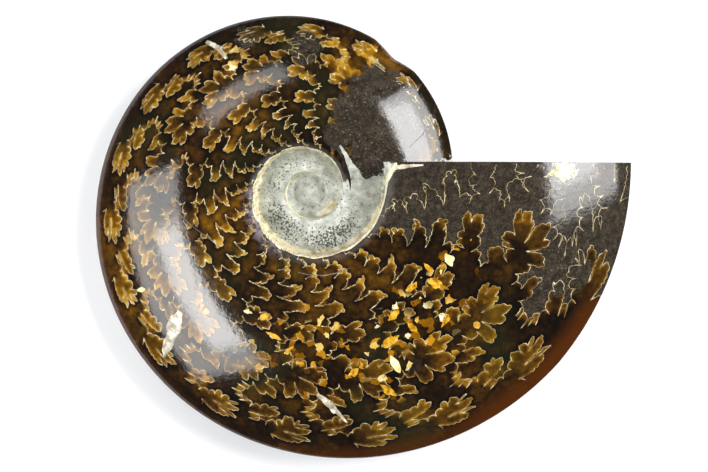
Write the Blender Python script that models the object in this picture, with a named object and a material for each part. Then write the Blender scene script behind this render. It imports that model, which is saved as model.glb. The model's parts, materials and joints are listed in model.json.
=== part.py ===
# Polished ammonite fossil, lying on its flank: one solid, a coil that grows by a fixed ratio each turn.
# The mouth is sawn off straight, the keel has a small chip, and a spot on the lower flank is ground flat.
# Metres, +Z up. The origin is under the middle of the fossil, on the surface that it lies on.

import math

import bmesh
import bpy
from mathutils import Matrix

# Driving dimensions
KEEL_RADIUS = 0.0733          # coil axis to the keel after the last full turn, before polishing wear
EXPANSION = 2.315             # how much the keel radius grows in one turn
HALF_THICKNESS = 0.0155       # middle plane to the umbilical shoulder at the mouth
THICKENING = 0.75             # power of the keel radius by which the coil thickens
SEAM_RATIO = 0.25             # radius of the seam against the keel radius of the same whorl
SHOULDER_RATIO = 0.30         # radius where the flank is thickest, against the keel radius
MOUTH_OFFSET = 0.0063         # coil axis to the sawn face
TILT = math.radians(4.5)      # slope of the middle plane when the fossil lies at rest
SPOT_DEPTH = 0.0011           # depth of the ground spot on the lower flank

# Section of a whorl
FLANK_POWER = 1.8             # how late the flank starts to fall towards the keel
KEEL_POWER = 0.6              # how round the keel is, 0.5 for an ellipse
WALL_POWER = 2.6              # how squarely the umbilical wall meets the flank

# Wear of the keel, as a share of its radius
MOUTH_WEAR = 0.028            # lost at the mouth, where the polished edge tapers
MOUTH_WEAR_START = math.radians(325)
MOUTH_WEAR_ARC = math.radians(40)
CHIP_LOSS = 0.034
CHIP_ANGLE = math.radians(58)
CHIP_HALF_ARC = math.radians(9)

# Mesh
ROWS_PER_TURN = 60
WALL_COLUMNS = 3
SHELF_COLUMNS = 4             # on the flank, as far as the next whorl would cover it
FLANK_COLUMNS = 10            # on the rest of the flank, out to the keel
NUCLEUS_RISE = 0.0004         # how far the middle of the nucleus stands above its rim
SNAP = 0.00002                # points this near to the ground plane are moved onto it

FULL_TURN = 2 * math.pi
NAME = "ammonite"


def keel_radius(angle):
    return KEEL_RADIUS * EXPANSION ** ((angle - FULL_TURN) / FULL_TURN)


def worn_radius(angle, ratio):
    """Radius of a point on the whorl, pulled in near the keel where the rim is worn or chipped."""
    wear = MOUTH_WEAR * max(0.0, (angle - MOUTH_WEAR_START) / MOUTH_WEAR_ARC)
    chip = max(0.0, 1 - abs(angle - CHIP_ANGLE) / CHIP_HALF_ARC)
    loss = wear + CHIP_LOSS * chip
    return ratio * keel_radius(angle) * (1 - loss * ratio ** 4)


def flank(ratio):
    """Height of the flank against that of the shoulder."""
    along = (ratio - SHOULDER_RATIO) / (1 - SHOULDER_RATIO)
    return max(0.0, 1 - along ** FLANK_POWER) ** KEEL_POWER


COVER_RATIO = SEAM_RATIO * EXPANSION                              # where the next whorl starts to cover
SEAM_HEIGHT = flank(COVER_RATIO) / EXPANSION ** THICKENING        # height of the seam against the shoulder


def section():
    """The points of the section, each a radius and a height ratio, from the seam out to the keel."""
    points = []
    for step in range(WALL_COLUMNS):
        turn = math.pi / 2 * step / WALL_COLUMNS
        inward = math.cos(turn) ** (2 / WALL_POWER)
        rise = math.sin(turn) ** (2 / WALL_POWER)
        points.append((SHOULDER_RATIO - (SHOULDER_RATIO - SEAM_RATIO) * inward,
                       SEAM_HEIGHT + (1 - SEAM_HEIGHT) * rise))
    cover_along = (COVER_RATIO - SHOULDER_RATIO) / (1 - SHOULDER_RATIO)
    cover_turn = math.asin(cover_along ** (FLANK_POWER / 2))
    turns = [cover_turn * step / SHELF_COLUMNS for step in range(SHELF_COLUMNS)]
    turns += [cover_turn + (math.pi / 2 - cover_turn) * step / FLANK_COLUMNS
              for step in range(FLANK_COLUMNS + 1)]
    for turn in turns:
        along = math.sin(turn) ** (2 / FLANK_POWER)
        ratio = SHOULDER_RATIO + (1 - SHOULDER_RATIO) * along
        points.append((ratio, flank(min(ratio, 1.0))))
    return points


SECTION = section()
COVER_COLUMN = WALL_COLUMNS + SHELF_COLUMNS


def mouth_angle(ratio, turns):
    """Angle at which a line of the whorl meets the sawn plane, on the given turn."""
    angle = turns * FULL_TURN
    for _ in range(40):
        angle = turns * FULL_TURN + math.asin(MOUTH_OFFSET / worn_radius(angle, ratio))
    return angle


START_ANGLE = mouth_angle(SEAM_RATIO, 0)


def row_angle(row, ratio):
    """Rows are radial near the centre and lean over to lie in the sawn plane at each end of the last turn."""
    along = row / ROWS_PER_TURN
    if along >= 1:
        first, last = mouth_angle(ratio, 0), mouth_angle(ratio, 1)
        return first + (last - first) * (along - 1)
    first, last = START_ANGLE - FULL_TURN, mouth_angle(ratio, 0)
    return first + (last - first) * along


def whorl_point(row, column):
    ratio, rise = SECTION[column]
    angle = row_angle(row, ratio)
    radius = worn_radius(angle, ratio)
    height = HALF_THICKNESS * (keel_radius(angle) / KEEL_RADIUS) ** THICKENING * rise
    return radius, angle, height


def nucleus_point(row, column):
    """Innermost turn: it widens from nothing at the rim of the nucleus to the full strip of a whorl."""
    rim_radius, _, rim_height = whorl_point(0, 0)
    edge_radius, angle, edge_height = whorl_point(row, 0)
    end_radius, _, end_height = whorl_point(0, COVER_COLUMN)
    across = (SECTION[column][0] - SEAM_RATIO) / (COVER_RATIO - SEAM_RATIO)
    bulge = whorl_point(0, column)[2] - rim_height - (end_height - rim_height) * across
    height = rim_height + (edge_height - rim_height) * across + bulge * row / ROWS_PER_TURN
    return rim_radius + (edge_radius - rim_radius) * across, angle, height


def build_half(bm, side):
    """One flank, from the nucleus to the keel. Returns the corners by row and column."""
    corners = {}

    def place(key, point):
        radius, angle, height = point
        corners[key] = bm.verts.new((radius * math.cos(angle), radius * math.sin(angle), side * height))

    for row in range(ROWS_PER_TURN, 2 * ROWS_PER_TURN + 1):
        for column in range(len(SECTION)):
            place((row, column), whorl_point(row, column))
    for row in range(ROWS_PER_TURN):
        for column in range(COVER_COLUMN):
            place((row, column), whorl_point(row, column))
        corners[row, COVER_COLUMN] = corners[row + ROWS_PER_TURN, 0]
    for row in range(1, ROWS_PER_TURN):
        for column in range(COVER_COLUMN):
            place((row - ROWS_PER_TURN, column), nucleus_point(row, column))
        corners[row - ROWS_PER_TURN, COVER_COLUMN] = corners[row, 0]
    for column in range(COVER_COLUMN + 1):
        corners[-ROWS_PER_TURN, column] = corners[0, 0]

    def add_face(loop):
        different = [corner for index, corner in enumerate(loop) if corner is not loop[index - 1]]
        if side < 0:
            different.reverse()
        if len(different) > 2:
            bm.faces.new(different)

    for row in range(-ROWS_PER_TURN, 2 * ROWS_PER_TURN):
        last_column = len(SECTION) - 1 if row >= ROWS_PER_TURN else COVER_COLUMN
        for column in range(last_column):
            add_face([corners[row, column], corners[row, column + 1],
                      corners[row + 1, column + 1], corners[row + 1, column]])

    rim_height = whorl_point(0, 0)[2]
    middle = bm.verts.new((0, 0, side * (rim_height + NUCLEUS_RISE)))
    for row in range(-ROWS_PER_TURN, 0):
        add_face([middle, corners[row, 0], corners[row + 1, 0]])
    return corners


def add_mouth(bm, upper, lower):
    """The sawn face: from the seam over the keel of the last turn and back around the turn inside it."""
    last_row = 2 * ROWS_PER_TURN
    keel = len(SECTION) - 1
    loop = [upper[last_row, column] for column in range(keel + 1)]
    loop += [lower[last_row, column] for column in range(keel - 1, -1, -1)]
    loop += [lower[ROWS_PER_TURN, column] for column in range(COVER_COLUMN + 1, keel + 1)]
    loop += [upper[ROWS_PER_TURN, column] for column in range(keel - 1, COVER_COLUMN, -1)]
    bm.faces.new(loop)


def grind_spot(bm):
    """Cut the lowest part of the lower flank off level and close the cut."""
    level = min(vert.co.z for vert in bm.verts) + SPOT_DEPTH
    every_part = bm.verts[:] + bm.edges[:] + bm.faces[:]
    bmesh.ops.bisect_plane(bm, geom=every_part, dist=SNAP, use_snap_center=True,
                           plane_co=(0, 0, level), plane_no=(0, 0, -1), clear_outer=True)
    open_edges = [edge for edge in bm.edges if edge.is_boundary]
    bmesh.ops.holes_fill(bm, edges=open_edges, sides=0)


def settle(bm):
    """Put the origin under the middle of the fossil, on the ground spot."""
    low = [min(vert.co[axis] for vert in bm.verts) for axis in range(3)]
    high = [max(vert.co[axis] for vert in bm.verts) for axis in range(3)]
    offset = (-(low[0] + high[0]) / 2, -(low[1] + high[1]) / 2, -low[2])
    bmesh.ops.translate(bm, verts=bm.verts, vec=offset)


def polished_stone():
    material = bpy.data.materials.new("polished_stone")
    material.use_nodes = True
    shader = material.node_tree.nodes["Principled BSDF"]
    shader.inputs["Base Color"].default_value = (0.16, 0.075, 0.02, 1)
    shader.inputs["Roughness"].default_value = 0.12
    shader.inputs["Metallic"].default_value = 0.0
    return material


def make_ammonite():
    bm = bmesh.new()
    upper = build_half(bm, 1)
    lower = build_half(bm, -1)
    add_mouth(bm, upper, lower)
    bmesh.ops.remove_doubles(bm, verts=bm.verts, dist=0.000001)
    bmesh.ops.rotate(bm, verts=bm.verts, cent=(0, 0, 0), matrix=Matrix.Rotation(-TILT, 3, "Y"))
    grind_spot(bm)
    settle(bm)
    bmesh.ops.triangulate(bm, faces=bm.faces, ngon_method="EAR_CLIP")
    bmesh.ops.recalc_face_normals(bm, faces=bm.faces)
    mesh = bpy.data.meshes.new(NAME)
    bm.to_mesh(mesh)
    bm.free()
    mesh.shade_smooth()
    mesh.set_sharp_from_angle(angle=math.radians(40))
    mesh.materials.append(polished_stone())
    return bpy.data.objects.new(NAME, mesh)


for old_object in list(bpy.data.objects):
    bpy.data.objects.remove(old_object, do_unlink=True)
fossil = bpy.data.collections.new("ammonite_fossil")
bpy.context.scene.collection.children.link(fossil)
fossil.objects.link(make_ammonite())
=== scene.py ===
import json
import math

import bmesh
import bpy
import numpy as np
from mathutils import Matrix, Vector, geometry
from mathutils.bvhtree import BVHTree
from mathutils.kdtree import KDTree

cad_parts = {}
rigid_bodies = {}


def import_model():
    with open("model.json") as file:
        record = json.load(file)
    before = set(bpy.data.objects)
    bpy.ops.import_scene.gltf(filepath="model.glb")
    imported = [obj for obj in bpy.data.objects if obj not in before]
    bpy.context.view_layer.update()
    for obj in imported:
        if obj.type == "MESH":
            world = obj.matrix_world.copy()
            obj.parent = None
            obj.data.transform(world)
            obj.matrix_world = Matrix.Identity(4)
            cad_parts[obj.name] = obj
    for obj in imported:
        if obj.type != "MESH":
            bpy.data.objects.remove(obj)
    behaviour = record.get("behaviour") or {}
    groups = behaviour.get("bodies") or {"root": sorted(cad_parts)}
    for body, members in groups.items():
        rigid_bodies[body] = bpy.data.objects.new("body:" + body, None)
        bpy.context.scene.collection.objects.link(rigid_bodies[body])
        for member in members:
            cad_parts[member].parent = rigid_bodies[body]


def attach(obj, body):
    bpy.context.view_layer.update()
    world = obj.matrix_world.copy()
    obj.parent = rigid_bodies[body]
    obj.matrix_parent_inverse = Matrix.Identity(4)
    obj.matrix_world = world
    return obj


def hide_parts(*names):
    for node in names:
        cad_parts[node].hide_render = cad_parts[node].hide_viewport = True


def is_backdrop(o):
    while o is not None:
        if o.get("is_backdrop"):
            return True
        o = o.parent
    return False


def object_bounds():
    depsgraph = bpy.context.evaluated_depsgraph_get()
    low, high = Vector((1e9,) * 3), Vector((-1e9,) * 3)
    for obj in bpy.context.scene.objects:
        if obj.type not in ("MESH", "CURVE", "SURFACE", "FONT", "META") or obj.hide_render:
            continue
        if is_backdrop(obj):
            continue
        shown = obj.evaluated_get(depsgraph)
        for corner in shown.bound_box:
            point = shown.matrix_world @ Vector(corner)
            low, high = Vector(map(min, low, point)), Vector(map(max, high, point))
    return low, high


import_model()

cadLow, cadHigh = (tuple(corner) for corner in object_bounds())
fullTurn = 2 * math.pi
photoWidth = 708  # pixels, of the picture that the camera frames


# A hex colour as it is seen, turned to the linear numbers that shaders and lights take
def linear(hexColour, level=1.0):
    channels = [int(hexColour[i:i + 2], 16) / 255 for i in (1, 3, 5)]
    channels = [c / 12.92 if c <= 0.04045 else ((c + 0.055) / 1.055) ** 2.4 for c in channels]
    return tuple(level * c for c in channels) + (1.0,)


def addObject(name, data):
    thing = bpy.data.objects.new(name, data)
    bpy.context.scene.collection.objects.link(thing)
    return thing


# Adds one node. Settings are its own properties, and inputs are values or the sockets that feed it.
def addNode(tree, kind, settings=None, inputs=None):
    node = tree.nodes.new(kind)
    for name, value in (settings or {}).items():
        setattr(node, name, value)
    for key, value in (inputs or {}).items():
        if isinstance(value, bpy.types.NodeSocket):
            tree.links.new(value, node.inputs[key])
        else:
            node.inputs[key].default_value = value
    return node


# The coil's rule, in the same sizes as the solid it stands for
coil = {
    "keelRadius": 0.0733,  # coil axis to keel after the last full turn
    "expansion": 2.315,  # growth in one turn
    "halfThickness": 0.0155,
    "thickening": 0.75,
    "seamRatio": 0.235,  # where the umbilical wall ends and the flank starts, against the keel's
    "shoulderRatio": 0.258,  # radius. The solid has 0.25 and 0.30, a wider umbilicus and a coarser step.
    "mouthOffset": 0.0063,
    "tilt": math.radians(4.5),
    "flankPower": 2.2,  # with a keel that is sharper than the solid's, as it is where polished
    "keelPower": 0.9,
    "wallPower": 2.6,
    "mouthWear": 0.028,
    "mouthWearStart": math.radians(325),
    "mouthWearArc": math.radians(40),
    "wearPower": 4,  # how closely wear keeps to the rim
    "chipLoss": 0.034,
    "chipAngle": math.radians(58),
    "chipHalfArc": math.radians(9),
    "nucleusRise": 0.0004,
}
coverRatio = coil["seamRatio"] * coil["expansion"]  # where the next whorl starts to cover this one
growth = math.log(coil["expansion"]) / fullTurn


def keelAt(angle):
    return coil["keelRadius"] * np.exp(growth * (angle - fullTurn))


def flankRise(ratio):
    along = np.clip((ratio - coil["shoulderRatio"]) / (1 - coil["shoulderRatio"]), 0, 1)
    return (1 - along ** coil["flankPower"]) ** coil["keelPower"]


seamRise = float(flankRise(coverRatio) / coil["expansion"] ** coil["thickening"])


# Height of the section against the shoulder's, over the umbilical wall and the flank
def sectionRise(ratio):
    up = 1.00001 * (coil["shoulderRatio"] - ratio) / (coil["shoulderRatio"] - coil["seamRatio"])
    up = np.clip(up, 0, 1)  # the small excess meets the seam in spite of rounding
    wall = seamRise + (1 - seamRise) * (1 - up ** coil["wallPower"]) ** (1 / coil["wallPower"])
    return np.where(ratio >= coil["shoulderRatio"], flankRise(ratio), wall)


# Logarithm of how far the rim is pulled in where it is worn or chipped
def wearShift(angle, ratio):
    wear = coil["mouthWear"] * np.maximum(0, (angle - coil["mouthWearStart"]) / coil["mouthWearArc"])
    chip = coil["chipLoss"] * np.maximum(0, 1 - np.abs(angle - coil["chipAngle"]) / coil["chipHalfArc"])
    return np.log(1 - (wear + chip) * ratio ** coil["wearPower"])


# Angle at which a line of the whorl meets the sawn plane
def mouthAngle(ratio, turns):
    angle = np.full(np.shape(ratio), turns * fullTurn)
    for _ in range(40):  # each pass comes closer
        radius = ratio * keelAt(angle) * np.exp(wearShift(angle, ratio))
        angle = turns * fullTurn + np.arcsin(coil["mouthOffset"] / radius)
    return angle


# Half thickness at the shoulder
def halfHeight(angle):
    return coil["halfThickness"] * (keelAt(angle) / coil["keelRadius"]) ** coil["thickening"]


# Sutures. On the unrolled flank, angle runs along the whorl and the logarithm of the ratio across it, and
# every suture is one outline moved along. Its folds were placed from the keel to the seam:
# every other one is a round saddle that points towards the mouth, and those between are pointed lobes that
# point back. Each is degrees, then log ratio.
suture = {
    "folds": [
        (-14.5, 0.0), (-15.3, -0.018), (-8.0, -0.013), (-9.6, -0.030), (-6.5, -0.036), (-12.2, -0.052),
        (-5.9, -0.080), (-9.2, -0.092), (-6.5, -0.122), (-8.8, -0.112), (-8.8, -0.138), (-10.5, -0.103),
        (-11.4, -0.140), (-12.7, -0.104), (-14.0, -0.117), (-14.5, -0.082), (-15.8, -0.096),
        (-16.6, -0.062), (-17.0, -0.090), (-20.9, -0.069), (-18.4, -0.093), (-21.7, -0.101),
        (-14.0, -0.152), (-15.3, -0.163), (-15.2, -0.176), (-16.8, -0.158), (-17.7, -0.173),
        (-18.8, -0.150), (-20.2, -0.158), (-21.4, -0.134), (-21.4, -0.160), (-24.7, -0.146),
        (-22.4, -0.169), (-25.7, -0.166), (-23.6, -0.181), (-27.5, -0.180), (-23.8, -0.203),
        (-26.2, -0.212), (-23.2, -0.219), (-25.2, -0.237), (-22.6, -0.232), (-22.3, -0.258),
        (-18.6, -0.224), (-17.8, -0.233), (-15.2, -0.238), (-19.0, -0.276), (-17.9, -0.298),
        (-19.0, -0.319), (-16.6, -0.308), (-15.6, -0.336), (-14.0, -0.294), (-13.0, -0.308),
        (-11.4, -0.244), (-10.0, -0.327), (-6.6, -0.250), (-5.9, -0.280), (-2.8, -0.290), (-8.1, -0.357),
        (-2.0, -0.338), (-2.0, -0.354), (0.0, -0.372), (-2.9, -0.391), (-0.6, -0.425), (-6.4, -0.404),
        (-7.0, -0.452), (-8.9, -0.419), (-9.7, -0.446), (-10.3, -0.384), (-11.6, -0.416), (-13.9, -0.393),
        (-11.2, -0.472), (-16.5, -0.466), (-15.8, -0.482), (-18.0, -0.494), (-15.8, -0.507),
        (-16.5, -0.523), (-13.5, -0.545), (-14.9, -0.582), (-10.4, -0.564), (-9.3, -0.589), (-5.2, -0.570),
        (-5.0, -0.584), (-2.8, -0.607), (-5.1, -0.646), (-2.8, -0.684), (-8.4, -0.666), (-10.3, -0.694),
        (-11.6, -0.662), (-12.6, -0.676), (-14.8, -0.630), (-14.2, -0.662), (-18.4, -0.686),
        (-14.9, -0.704), (-16.0, -0.752), (-11.0, -0.776), (-10.4, -0.792), (-6.3, -0.818), (-10.1, -0.888),
        (-13.0, -0.862), (-19.8, -0.850), (-11.2, -0.975), (-14.2, -1.012), (-16.4, -0.990),
        (-22.4, -0.978), (-16.2, -1.140), (-25.3, -1.112), (-19.0, -1.262), (-27.2, -1.240),
        (-25.6, -1.320), (-31.0, -1.340), (-31.0, -1.449),
    ],
    "places": [38, 58, 79.2, 100, 120.4, 139.9, 160.1, 180.7, 200, 219, 237.4, 257.6, 276, 295, 313.9,
               333.2, 354.4, 373.4],  # degrees, the last one cut off by the saw
    "foldJitter": 0.3,  # degrees that one fold strays at the keel
    "jitterGrowth": 2.2,  # how much more it strays towards the seam, for each unit of log ratio
    "jitterFrom": -0.5,  # log ratio below which it does
    "jitterAcross": 0.7,  # how far it strays across the whorl, against that
    "cloverBelow": -0.75,  # log ratio below which a saddle's head has three lobes
    "keelGap": 0.004,  # log ratio that every fold keeps from the keel
    "keelBand": 0.045,  # strip along the keel that the folds leave free
    "mouthBand": 0.008,  # the same for sutures from mouthBandStart on, in degrees
    "mouthBandStart": 340,
    "bandReach": 0.13,  # log ratio over which the folds make room for that strip
    "endHandle": 0.2,  # handles of the curve, as shares of the way to the next fold: at its ends,
    "saddleHandle": 0.55,  # at a saddle, and back out of a lobe and off to its side
    "lobeHandle": 0.4,
    "lobeSplay": 0.08,
    "saddleLimit": 0.8,  # the most that they may be, as shares of the fold's width
    "splayLimit": 0.4,
    "saddleSwell": 0.45,  # how much a line swells at a saddle's head, against a lobe's tip
    "smoothBelow": -1.15,  # log ratio below which the limbs have no scallops
    "smoothOver": 0.2,  # log ratio over which the scallops fade
    "frillPower": 0.8,  # below 1 for round scallops with sharp corners between
    "frillLength": 0.023,  # one scallop along a limb, on the unrolled flank
    "frillDepth": 0.0082,
    "frillWidth": 0.02,  # a fold narrower than this stays smooth
    "step": 0.0066,  # between points of a line, on the unrolled flank
    "lineWidth": 0.00019,  # metres, along a limb, and half of it stands clear of the skin
    "tipWidth": 3.0,  # how much wider the line is at a pointed lobe
    "tipReach": 0.022,  # how far from its tip that starts, and how late most of it comes
    "tipPower": 1.4,
    "lift": 0.00003,  # crest of the line above the polished flank, metres
    "end": -1.395,  # log ratio where the chalk of the umbilicus hides the lines
    "matrixUntil": 72,  # degrees and log ratio before and below which matrix hides them
    "matrixBelow": -0.13,
    "keelUntil": 338,  # and before and above which the keel has none
    "keelAbove": -0.036,
    "seed": 11,
}


# The line through the folds: round at the saddles, cusped at the lobes, with scallops along each limb
def sutureLine(folds):
    places = np.array([(math.radians(a), q) for a, q in folds])
    isRound = [i % 2 == 0 for i in range(len(folds))]
    last = len(folds) - 1
    widths = [np.hypot(*(places[min(j + 1, last)] - places[max(j - 1, 0)])) for j in range(last + 1)]
    line, tipness = [], []
    for i in range(last):
        start, end = places[i], places[i + 1]
        span = np.hypot(*(end - start))
        handles = []
        for j, sign in ((i, 1), (i + 1, -1)):
            before, after = places[max(j - 1, 0)], places[min(j + 1, last)]
            across = (after - before) / max(widths[j], 1e-9)
            axis = places[j] - (before + after) / 2
            axis = axis / max(np.hypot(*axis), 1e-9)
            if j in (0, last):
                handles.append(sign * suture["endHandle"] * span * across)
            elif isRound[j]:
                length = min(suture["saddleHandle"] * span, suture["saddleLimit"] * widths[j])
                handles.append(sign * length * across)
            else:
                splay = min(suture["lobeSplay"] * span, suture["splayLimit"] * widths[j])
                handles.append(-suture["lobeHandle"] * span * axis + sign * splay * across)
        count = max(4, int(span / suture["step"]))
        t = np.arange(count) / count
        curve = ((1 - t) ** 3)[:, None] * start + (3 * t * (1 - t) ** 2)[:, None] * (start + handles[0])
        curve += (3 * t * t * (1 - t))[:, None] * (end + handles[1]) + (t ** 3)[:, None] * end
        frills = round(span / suture["frillLength"])
        room = np.clip((min(widths[i], widths[i + 1]) - suture["frillWidth"]) / suture["frillWidth"], 0, 1)
        if frills >= 2 and room > 0:
            forward = np.gradient(curve, axis=0)
            forward /= np.maximum(np.hypot(forward[:, 0], forward[:, 1]), 1e-9)[:, None]
            left = np.stack([-forward[:, 1], forward[:, 0]], axis=1)
            fade = np.clip((curve[:, 1] - suture["smoothBelow"]) / suture["smoothOver"], 0, 1)
            wave = np.abs(np.sin(math.pi * frills * t)) ** suture["frillPower"]
            for pointed, far in ((not isRound[i], t), (not isRound[i + 1], 1 - t)):
                if pointed:  # none close to a lobe's tip
                    wave = wave * np.clip(1.5 * far - 0.1, 0, 1)
            curve = curve + left * (wave * fade * room * suture["frillDepth"])[:, None]
        line.append(curve)
        swell = [suture["saddleSwell"] if round_ else 1.0 for round_ in isRound[i:i + 2]]
        near = [np.clip(1 - far * span / suture["tipReach"], 0, 1) for far in (t, 1 - t)]
        tipness.append(np.maximum(swell[0] * near[0], swell[1] * near[1]))
    line.append(places[-1:])
    tipness.append(np.zeros(1))
    line = np.concatenate(line)
    line[:, 1] = np.minimum(line[:, 1], 0)
    return line, np.concatenate(tipness)


# The small saddles near the umbilicus end like clover: back along the fold and off to its side, as shares
cloverHead = [(0.52, -0.88), (0.40, -0.56), (0.05, -0.70), (0.20, 0.0), (0.05, 0.70), (0.40, 0.56),
              (0.52, 0.88)]


def addClover(folds):
    places = np.array([(math.radians(a), q) for a, q in folds])
    full = []
    for i, (angle, q) in enumerate(folds):
        if i % 2 or q > suture["cloverBelow"] or i == len(folds) - 1:
            full.append((angle, q))
            continue
        middle = (places[i - 1] + places[i + 1]) / 2
        aside = (places[i + 1] - places[i - 1]) / 2
        for back, off in cloverHead:
            place = places[i] + (middle - places[i]) * back + aside * off
            full.append((math.degrees(place[0]), min(place[1], -suture["keelGap"])))
    return full


# One line for each wall between chambers, oldest first
def allSutures():
    rng = np.random.default_rng(suture["seed"])
    lines = []
    for place in suture["places"]:
        stray = rng.normal(0, suture["foldJitter"], (len(suture["folds"]), 2))
        folds = []
        band = suture["keelBand"] if place < suture["mouthBandStart"] else suture["mouthBand"]
        for i, (angle, q) in enumerate(suture["folds"]):
            inward = 1 - suture["jitterGrowth"] * min(0, q - suture["jitterFrom"])
            if 0 < i < len(suture["folds"]) - 1:
                q = min(q + math.radians(stray[i, 1]) * suture["jitterAcross"], -suture["keelGap"])
                q -= band * max(0, 1 + q / suture["bandReach"])
            folds.append((place + angle + stray[i, 0] * inward, q))
        lines.append(sutureLine(addClover(folds)))
    return lines


flankLines = allSutures()
print("sutures drawn:", len(flankLines), "with", sum(len(line) for line, _ in flankLines), "points")


def pointTree(points):
    tree = KDTree(len(points))
    for i, (across, up) in enumerate(points):
        tree.insert((across, up, 0), i)
    tree.balance()
    return tree


# Stretches of a line's points for which something holds, where they are longer than three points
def stretches(holds):
    pieces = np.split(np.arange(len(holds)), np.flatnonzero(np.diff(holds.astype(int))) + 1)
    return [piece for piece in pieces if holds[piece[0]] and len(piece) > 3]


# One half of the skin as a flat net of angle, log ratio and rise, with every suture an edge of it
net = {
    "spacing": 0.00095,  # between points on the flank, metres
    "navelSpacing": 0.0007,  # the same in the umbilicus
    "flankColumns": 56,
    "wallColumns": 6,
    "clearance": 0.42,  # of the spacing, that other points keep from a suture
    "rimClearance": 0.9,  # of that, what they keep from the net's own rim
    "mouthGap": 0.006,  # radians that a suture keeps from the sawn face
    "seamReach": 0.01,  # log ratio from the seam within which a suture is joined to it
    "seamGap": 0.004,  # and within which its own points are left out
    "turnRows": 180,  # rows in a turn of the umbilicus
    "nucleusRings": 7,
    "bulgePower": 4,  # how late the innermost turn takes on a whorl's section
    "mouthSpacing": 0.0011,  # between points on the sawn face
    "mouthRow": 0.87,  # of the spacing, from one row of them to the next
    "mouthReach": 1.1,  # how high the rows go, against the coil's half thickness
    "mouthClearance": 0.55,  # of the spacing, that they keep from the outline
    "inset": 0.28,  # how far a corner's spot lies towards the middle of its face
    "rays": 18,  # directions in which it looks for the suture
    "reach": 0.15,  # how far it looks, on the unrolled flank
}
seamLog, coverLog = math.log(coil["seamRatio"]), math.log(coverRatio)


def sectionRatios():
    turns = np.arange(net["wallColumns"]) / net["wallColumns"] * math.pi / 2
    inward = np.cos(turns) ** (2 / coil["wallPower"])
    wall = coil["shoulderRatio"] - (coil["shoulderRatio"] - coil["seamRatio"]) * inward
    turns = np.arange(net["flankColumns"] + 1) / net["flankColumns"] * math.pi / 2
    flank = coil["shoulderRatio"] + (1 - coil["shoulderRatio"]) * np.sin(turns) ** (2 / coil["flankPower"])
    flank[np.argmin(abs(flank - coverRatio))] = coverRatio  # the next whorl's seam needs a column
    return np.concatenate([wall, flank])


# Angles from start to end at even distances along the spiral
def spread(start, end, ratio, spacing):
    low, high = math.exp(growth * start), math.exp(growth * end)
    length = ratio * float(keelAt(end) - keelAt(start)) / growth
    return np.log(np.linspace(low, high, max(8, int(length / spacing)) + 1)) / growth


# The whorl in view and the older one inside the umbilicus, as one strip
def makeStripNet():
    ratios = sectionRatios()
    coverColumn = int(np.argmin(abs(ratios - coverRatio)))
    first, last = mouthAngle(ratios, 0), mouthAngle(ratios, 1)
    innerStart = first[0] - fullTurn
    innerSeam = np.linspace(innerStart, first[0], net["turnRows"] + 1)
    outerSeam = np.linspace(first[0], last[0], net["turnRows"] + 1)
    points, edges = [], []

    def addChain(chain):
        base = len(points)
        points.extend(map(tuple, chain))
        edges.extend((base + i, base + i + 1) for i in range(len(chain) - 1))

    rim = [(a, seamLog) for a in innerSeam] + [(a, seamLog) for a in outerSeam[1:]]
    rim += [(last[i], math.log(ratios[i])) for i in range(1, len(ratios))]
    rim += [(a, 0.0) for a in spread(first[-1], last[-1], 1.0, net["spacing"])[-2:0:-1]]
    rim += [(first[i], math.log(ratios[i])) for i in range(len(ratios) - 1, coverColumn, -1)]
    rim += [(a - fullTurn, coverLog) for a in outerSeam[::-1]]
    rim += [(innerStart, math.log(ratios[i])) for i in range(coverColumn - 1, 0, -1)]
    addChain(rim)
    edges.append((len(rim) - 1, 0))
    rimTree = pointTree(rim)

    sutureEdges, kept = set(), []
    for line, tipness in flankLines:
        ratio = np.exp(line[:, 1])
        inside = line[:, 0] > mouthAngle(ratio, 0) + net["mouthGap"]
        inside &= line[:, 0] < mouthAngle(ratio, 1) - net["mouthGap"]
        for piece in stretches(inside):
            before = len(edges)
            addChain(line[piece][line[piece, 1] > seamLog + net["seamGap"]])
            foot = line[piece[-1]]
            if foot[1] < seamLog + net["seamReach"]:  # joined at a corner that the next whorl shares
                edges.append((len(points) - 1, rimTree.find((foot[0], seamLog, 0))[1]))
            sutureEdges.update(range(before, len(edges)))
            kept.append((line[piece], tipness[piece]))
    linePoints = len(points) - len(rim)
    lineTree = pointTree(points[len(rim):])
    for column in range(1, len(ratios) - 1):
        ratio = ratios[column]
        q = math.log(ratio)
        row = spread(first[column], last[column], ratio, net["spacing"])
        if column < coverColumn:
            row = np.concatenate([spread(innerStart, first[column], ratio, net["navelSpacing"]), row[1:]])
        row = (row[1:] + row[:-1]) / 2 if column % 2 else row[1:-1]
        for a in row:
            gap = net["spacing"] / (ratio * float(keelAt(a))) * net["clearance"]
            if lineTree.find((a, q, 0))[2] > gap and rimTree.find((a, q, 0))[2] > gap * net["rimClearance"]:
                points.append((a, q))

    flat = [Vector(p) for p in points]
    corners, links, faces, _, fromEdges, _ = geometry.delaunay_2d_cdt(flat, edges, [], 1, 1e-7)
    corners = np.array([tuple(c) for c in corners])
    faces = np.array([f[:3] for f in faces])
    lineEdges = {(min(a, b), max(a, b)) for (a, b), sources in zip(links, fromEdges)
                 if any(source in sutureEdges for source in sources)}
    print("strip net:", len(corners), "points,", linePoints, "on sutures,", len(faces), "faces")
    return corners, faces, lineEdges, kept, ratios[:coverColumn + 1], innerSeam


stripCorners, stripFaces, lineEdges, keptLines, innerRatios, innerSeam = makeStripNet()


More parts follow.
